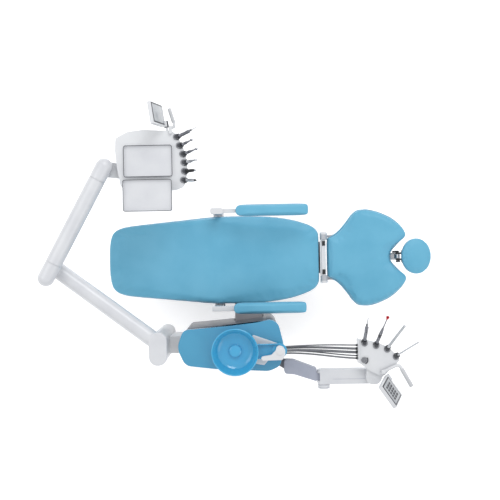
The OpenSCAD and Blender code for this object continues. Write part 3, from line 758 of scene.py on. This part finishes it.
def make_handle(node, points, radius, cut, foot, grip_radius):
    """A bent tube handle on its foot, with a soft grip on its free leg and a domed end."""
    path = eased(points, cut)
    stand = block("foot", WORLD, Vector(foot[0]) * MM, Vector(foot[1]) * MM, 0.003)
    rod = tube("rod", path, radius, 20)
    finish_piece(join(node + "_tube", [stand, rod]), "white", BODY_OF[node], nodes=[node])
    along = (path[-1] - path[-2]).normalized()
    start = path[-2] + along * 0.006
    length = (path[-1] - start).length
    sleeve = [(0, 0), (radius + 0.0003, 0), (grip_radius - 0.0005, 0.0015), (grip_radius, 0.004),
              (grip_radius, length - 0.002), (grip_radius * 0.9, length + 0.0012),
              (grip_radius * 0.6, length + 0.003), (0, length + 0.0036)]
    finish_piece(lathe(node + "_grip", sleeve, start, along, 28), "grip", BODY_OF[node], nodes=[node])


def loose_centres(node):
    """The middle of each separate solid in a node."""
    grid = bmesh.new()
    grid.from_mesh(NODES[node].data)
    bmesh.ops.remove_doubles(grid, verts=grid.verts, dist=WELD)
    seen, centres = set(), []
    for first in grid.verts:
        if first in seen:
            continue
        group, queue = [], [first]
        seen.add(first)
        while queue:
            vertex = queue.pop()
            group.append(vertex.co.copy())
            for edge in vertex.link_edges:
                other = edge.other_vert(vertex)
                if other not in seen:
                    seen.add(other)
                    queue.append(other)
        low = Vector([min(p[i] for p in group) for i in range(3)])
        high = Vector([max(p[i] for p in group) for i in range(3)])
        centres.append((low + high) / 2)
    grid.free()
    return centres


# ---------------------------------------------------------------- hoses

# In mm. Each hose has (y, z) at the unit and at the head, its sag and its radius.
UNIT_X, HEAD_X = 67, 520.5
HOSES = [((-524, 710), (-515, 764), 40, 4), ((-534, 694), (-536, 762), 44, 7),
         ((-549, 706), (-557, 762), 44, 8), ((-554, 686), (-577, 762), 50, 4),
         ((-565, 698), (-592, 764), 44, 5)]


def hose_point(hose, x):
    """A hose's place at a station along X, as the CAD model has it."""
    start, end, sag, _ = hose
    t = (x - UNIT_X) / (HEAD_X - UNIT_X)
    share = smoothstep(t)
    drop = sag * (4 * t * (1 - t)) ** 1.4 if 0 < t < 1 else 0
    return Vector((x, mix(start[0], end[0], share), mix(start[1], end[1], share) - drop)) * MM


def make_hoses():
    """Each hose in three stretches, one across each joint between the unit and the assistant's head."""
    spans = [("carriage", "assist_root", UNIT_X, 235), ("assist_root", "assist_beam", 235, 380),
             ("assist_beam", "assist", 380, HEAD_X)]
    steps = 16
    for number, hose in enumerate(HOSES, 1):
        radius = hose[3]
        for part, (near, far, x0, x1) in enumerate(spans, 1):
            points = [hose_point(hose, mix(x0, x1, k / steps)) for k in range(steps + 1)]
            piece = tidy_normals(tube(f"hose_{number}_{part}", points, radius * MM, 16), 50)
            piece.data.materials.append(LOOKS["hose"])
            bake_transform(piece)
            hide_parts("hose_bundle")


# ---------------------------------------------------------------- assistant's arm and head

def make_assistant():
    softened("assist_link", "link", 0.008, segments=4)
    softened("assist_arm", "enamel", 0.008, segments=4)
    softened("assist_knob", "enamel", 0.003)
    softened("assist_head", "white", 0.004, segments=4)
    make_handle("assist_handle", [(664, -668, 801), (756, -625, 801), (827, -755, 801)], 0.0095, 0.026,
                [(652, -680, 790), (676, -656, 813)], 0.0122)
    seam = [Vector((x, -0.7185, 0.7333)) for x in (0.375, 0.45, 0.55, 0.628)]
    finish_piece(tube("beam_seam", seam, 0.0007, 8), "link", "assist_beam")
    make_knob_trim()
    make_hose_glands()


def make_knob_trim():
    """Two grooves round the clamp knob and a cap on its end."""
    hinge = Vector(JOINTS["assist_arm_lift"]["pos_m"])
    beam_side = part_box("assist_arm")[0].y
    knob_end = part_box("assist_knob")[0].y
    end = Vector((hinge.x, beam_side, hinge.z))
    for number, depth in enumerate((0.006, 0.019), 1):
        path = [end - Vector((0, depth, 0)) + Vector((math.cos(a), 0, math.sin(a))) * 0.0349
                for a in circle(48)]
        groove = tube(f"knob_groove_{number}", path, 0.0009, 8, closed=True)
        finish_piece(groove, "link", "knob")
    plate = [(0, 0), (0.026, 0), (0.028, 0.0012), (0.0265, 0.002), (0.008, 0.0024), (0, 0.0024)]
    cap = lathe("knob_cap", plate, (hinge.x, knob_end + 0.0002, hinge.z), (0, -1, 0), 40)
    finish_piece(cap, "light_grey", "knob")


def make_hose_glands():
    """A rubber bush round each hose where it enters the head and leaves the unit."""
    for end, body, x, toward in (("head", "assist", HEAD_X, -1), ("unit", "carriage", UNIT_X, 1)):
        for number, hose in enumerate(HOSES, 1):
            radius = hose[3] * MM
            outer = (hose[3] + 2.2) * MM
            profile = [(0, 0), (outer + 0.001, 0), (outer, 0.002), (outer, 0.007), (radius + 0.0006, 0.010),
                       (0, 0.010)]
            gland = lathe(f"{end}_gland_{number}", profile, hose_point(hose, x), (toward, 0, 0), 24)
            finish_piece(gland, "black", body)


# ---------------------------------------------------------------- instruments and their holders


DOCTOR = ["delivery_syringe", "turbine_one", "turbine_two", "micromotor", "scaler", "polisher"]
HELPER = ["assist_syringe", "curing_light", "suction_large", "saliva_ejector"]


def holder_places(holders, order, names):
    """For each instrument: its holder's centre, its axis and its length beyond that centre in mm."""
    found = {}
    for name, place in zip(names, sorted(loose_centres(holders), key=order)):
        axis = Vector(JOINTS[name + "_lift"]["axis"]).normalized()
        length = max((v.co - place).dot(axis) for v in NODES[name].data.vertices)
        found[name] = (place, axis, length / MM)
    return found


def turned(node, place, axis, *pieces):
    """Turned pieces along an instrument: each is (look, profile) with radius and height in mm."""
    for number, (look, profile) in enumerate(pieces, 1):
        piece = lathe(f"{node}_{number}", in_metres(profile), place, axis, 28)
        finish_piece(piece, look, BODY_OF[node], nodes=[node], sharp=30)


def upward(axis):
    """The direction square to axis that points up."""
    return (UP - axis * UP.dot(axis)).normalized()


def neck(node, label, look, place, axis, low, high, bow, radii):
    """A tube from height low to high in mm that leaves the axis upward by bow mm at its end."""
    side = upward(axis)
    steps = 12
    points = [place + (axis * mix(low, high, k / steps) + side * bow * (k / steps) ** 2) * MM
              for k in range(steps + 1)]
    sizes = [mix(radii[0], radii[1], k / steps) * MM for k in range(steps + 1)]
    finish_piece(tube(f"{node}_{label}", points, sizes, 16), look, BODY_OF[node], nodes=[node])
    return points[-1], (points[-1] - points[-2]).normalized(), side


def grip(radius, low, high, grooves=0):
    """The profile of a handpiece's body from its hose end, with ring grooves near its front."""
    profile = [(0, -40), (5.4, -40), (6.2, -38.5), (6.2, -33), (radius - 1.4, -31), (radius - 0.2, -27),
               (radius, -24), (radius, low)]
    for groove in range(grooves):
        at = low + groove * 4
        profile += [(radius, at), (radius - 0.8, at + 0.6), (radius - 0.8, at + 1.6), (radius, at + 2.2)]
    return profile + [(radius, high)]


def handpiece(node, spot, look, ring_look, radius, nose, bow, head):
    """A dental handpiece: grooved grip, coloured ring, tapering neck and a cross head with its burr.

    radius, nose and head are the radii of its grip, its neck and its head in mm.
    """
    place, axis, length = spot
    body = grip(radius, 26, 0.42 * length, 4)
    taper = [(radius - 0.9, 0.45 * length), (radius - 0.4, 0.47 * length), (nose + 1, 0.66 * length),
             (nose, 0.76 * length), (0, 0.76 * length)]
    band = [(radius - 1, 0.415 * length), (radius + 0.15, 0.42 * length), (radius + 0.15, 0.45 * length),
            (radius - 1, 0.455 * length)]
    turned(node, place, axis, (look, body + taper), (ring_look, band))
    tip, along, side = neck(node, "neck", look, place, axis, 0.75 * length, length - 5, bow,
                            (nose, nose - 0.6))
    across = side.cross(along)
    facing = (side * 0.85 - along * 0.3 + across * 0.2).normalized()
    cross_head = [(0, -7), (head - 1, -7), (head, -6), (head, 3), (head - 0.5, 4), (head - 0.5, 6),
                  (head - 1.8, 7.5), (0, 7.8)]
    burr = [(0, -16), (0.8, -15.6), (0.8, -12), (0.6, -11), (0.6, -6), (0, -6)]
    for label, colour, profile, sides in (("head", look, cross_head, 28), ("burr", "steel", burr, 12)):
        piece = lathe(f"{node}_{label}", in_metres(profile), tip, facing, sides)
        finish_piece(piece, colour, BODY_OF[node], nodes=[node])


def syringe(node, spot, look):
    """A three-way syringe: waisted grip, two buttons and a long thin nozzle."""
    place, axis, length = spot
    waist = [(8.6, 0.36), (8.2, 0.42), (9.2, 0.5), (9, 0.6), (6.4, 0.66), (5, 0.69), (4.6, 0.72), (0, 0.72)]
    body = grip(9.6, 26, 0.3 * length, 2) + [(r, share * length) for r, share in waist]
    collar = [(4, 0.7 * length), (5.6, 0.705 * length), (5.6, 0.735 * length), (4, 0.74 * length),
              (0, 0.74 * length)]
    turned(node, place, axis, (look, body), ("dark", collar))
    neck(node, "nozzle", "clear", place, axis, 0.72 * length, length, 3, (3, 2))
    side = upward(axis)
    for number, share in enumerate((0.46, 0.54), 1):
        at = place + (axis * share * length + side * 8.4) * MM
        dome = [(0, 0), (0.0036, 0), (0.0036, 0.0014), (0.0026, 0.0024), (0, 0.0026)]
        button = lathe(f"{node}_button_{number}", dome, at, side, 20)
        finish_piece(button, "dark", BODY_OF[node], nodes=[node])
    strip = [place + (axis * mix(0.1, 0.62, k / 8) * length + axis.cross(side) * 8.9) * MM for k in range(9)]
    finish_piece(tube(node + "_strip", strip, 0.0022, 10), "dark", BODY_OF[node], nodes=[node])


def make_doctor_instruments():
    spots = holder_places("delivery_holders", lambda p: -p.y, DOCTOR)
    syringe("delivery_syringe", spots["delivery_syringe"], "chrome")
    for node in ("turbine_one", "turbine_two"):
        handpiece(node, spots[node], "chrome", "dark", radius=8.4, nose=4.2, bow=5, head=6.6)
    handpiece("micromotor", spots["micromotor"], "steel", "light_grey", radius=9.4, nose=4.6, bow=4, head=6)
    place, axis, length = spots["scaler"]
    turned("scaler", place, axis,
           ("black", grip(9, 24, 0.55 * length, 3) + [(8.2, 0.64 * length), (6.6, 0.74 * length),
                                                      (5.6, 0.78 * length), (0, 0.78 * length)]),
           ("steel", [(0, 0.77 * length), (4.6, 0.77 * length), (5, 0.79 * length), (4.2, 0.85 * length),
                      (2, 0.88 * length), (0, 0.88 * length)]))
    neck("scaler", "tip", "steel", place, axis, 0.87 * length, length, 4, (1.6, 0.5))
    place, axis, length = spots["polisher"]
    turned("polisher", place, axis,
           ("steel", grip(8.6, 24, 0.6 * length, 2) + [(8, 0.68 * length), (6.4, 0.76 * length),
                                                       (0, 0.76 * length)]),
           ("black", [(0, 0.75 * length), (6.2, 0.75 * length), (5.4, 0.8 * length), (2.6, 0.87 * length),
                      (0, 0.87 * length)]))
    neck("polisher", "tip", "steel", place, axis, 0.86 * length, length, 2, (1.3, 0.5))
    collars("delivery_holders", spots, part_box("delivery_head")[1].z - 0.029, -40)


def make_assistant_instruments():
    spots = holder_places("assist_holders", lambda p: p.x, HELPER)
    syringe("assist_syringe", spots["assist_syringe"], "chrome")
    place, axis, length = spots["curing_light"]
    turned("curing_light", place, axis,
           ("chrome", grip(9.6, 24, 0.4 * length, 3) + [(9.2, 0.48 * length), (6.4, 0.58 * length),
                                                        (4, 0.63 * length), (0, 0.63 * length)]),
           ("dark", [(8.6, 0.3 * length), (9.8, 0.305 * length), (9.8, 0.4 * length), (8.6, 0.405 * length)]),
           ("chrome", [(0, 0.62 * length), (4.2, 0.62 * length), (3.2, 0.7 * length), (3, 0.93 * length),
                       (0, 0.93 * length)]),
           ("red", [(0, 0.915 * length), (3, 0.915 * length), (4.4, 0.93 * length), (9, 0.985 * length),
                    (9.2, length), (7.8, length), (3.4, 0.95 * length), (0, 0.95 * length)]))
    for node, wide, thin in (("suction_large", 9.6, 7.9), ("saliva_ejector", 7, 4.3)):
        place, axis, length = spots[node]
        turned(node, place, axis,
               ("light_grey", [(0, -40), (wide - 2, -40), (wide, -36), (wide, 20), (wide - 1, 24),
                               (thin + 0.8, 28), (thin + 0.8, 36), (0, 36)]))
        neck(node, "tube", "clear", place, axis, 34, length - 3, 6, (thin, thin - 0.6))
    collars("assist_holders", spots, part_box("assist_head")[1].z - 0.012, 120)


def upright(name, profile, place, look, body):
    """A turned piece that stands upright, from a profile in mm."""
    finish_piece(lathe(name, in_metres(profile), place, UP, 40), look, body)


def fork(name, centre, radius, first, last, thickness, body):
    """The open fork round an instrument: an arc between two angles in degrees."""
    steps = 14
    arc = [math.radians(first + (last - first) * k / steps) for k in range(steps + 1)]
    points = [centre + Vector((math.cos(a), math.sin(a), 0)) * radius for a in arc]
    finish_piece(tube(name, points, thickness, 12), "dark", body)


def collars(holders, spots, top, opening):
    """Each holder's round cup on the head's top, its dark mouth, and the fork round the instrument.

    opening is the direction of the middle of the forks in degrees.
    """
    dress("dark", holders)
    body, slot = BODY_OF[holders], SLOT_OF[holders]
    for name, (place, axis, _) in spots.items():
        flat = Vector((axis.x, axis.y, 0)).normalized()
        centre = Vector((place.x, place.y, top)) - flat * 0.006
        cup = [(0, 0), (17.6, 0), (18.6, 1), (18.6, 4), (17.4, 5.4), (13.4, 5.6), (12.4, 4.6), (0, 4.4)]
        mouth = [(0, 4), (11.4, 4), (11.4, 5), (10, 5.4), (0, 5.4)]
        upright(name + "_collar", cup, centre, "collar", body)
        upright(name + "_mouth", mouth, centre, "dark", body)
        fork(name + "_fork", Vector((place.x, place.y, top + 0.006)), 0.0172, opening - 62, opening + 62,
             0.0036, body)


def make_spare_holder():
    """The assistant head's fifth holder, which is empty."""
    centre = Vector((0.556, -0.600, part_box("assist_head")[1].z - 0.012))
    cup = [(9.4, 0), (17, 0), (18, 1), (18, 6), (16.8, 7.4), (12.6, 7.4), (11.4, 6), (9.4, 2)]
    mouth = [(0, 0.4), (10.4, 0.4), (10.4, 1.6), (0, 1.6)]
    upright("spare_collar", cup, centre, "collar", "assist")
    upright("spare_mouth", mouth, centre, "black", "assist")
    fork("spare_fork", centre + UP * 0.006, 0.0205, -75, 45, 0.0032, "assist")


def make_instruments():
    make_doctor_instruments()
    make_assistant_instruments()
    make_spare_holder()


# ---------------------------------------------------------------- the scene

make_camera()
LOOKS = make_materials()
make_hoses()
make_light()
floor = new_object("studio_floor", [(-14, -14, 0), (14, -14, 0), (14, 14, 0), (-14, 14, 0)], [(0, 1, 2, 3)])
floor.data.materials.append(material("pale_floor", srgb(250, 250, 251), srgb(248, 248, 249), 2, (0.8, 0.9),
                                     Emission_Color=(1, 1, 1, 1), Emission_Strength=0.3))
make_base()
make_headrest()
make_cushions()
make_unit()
make_delivery_arm()
make_delivery_head()
make_assistant()
make_instruments()
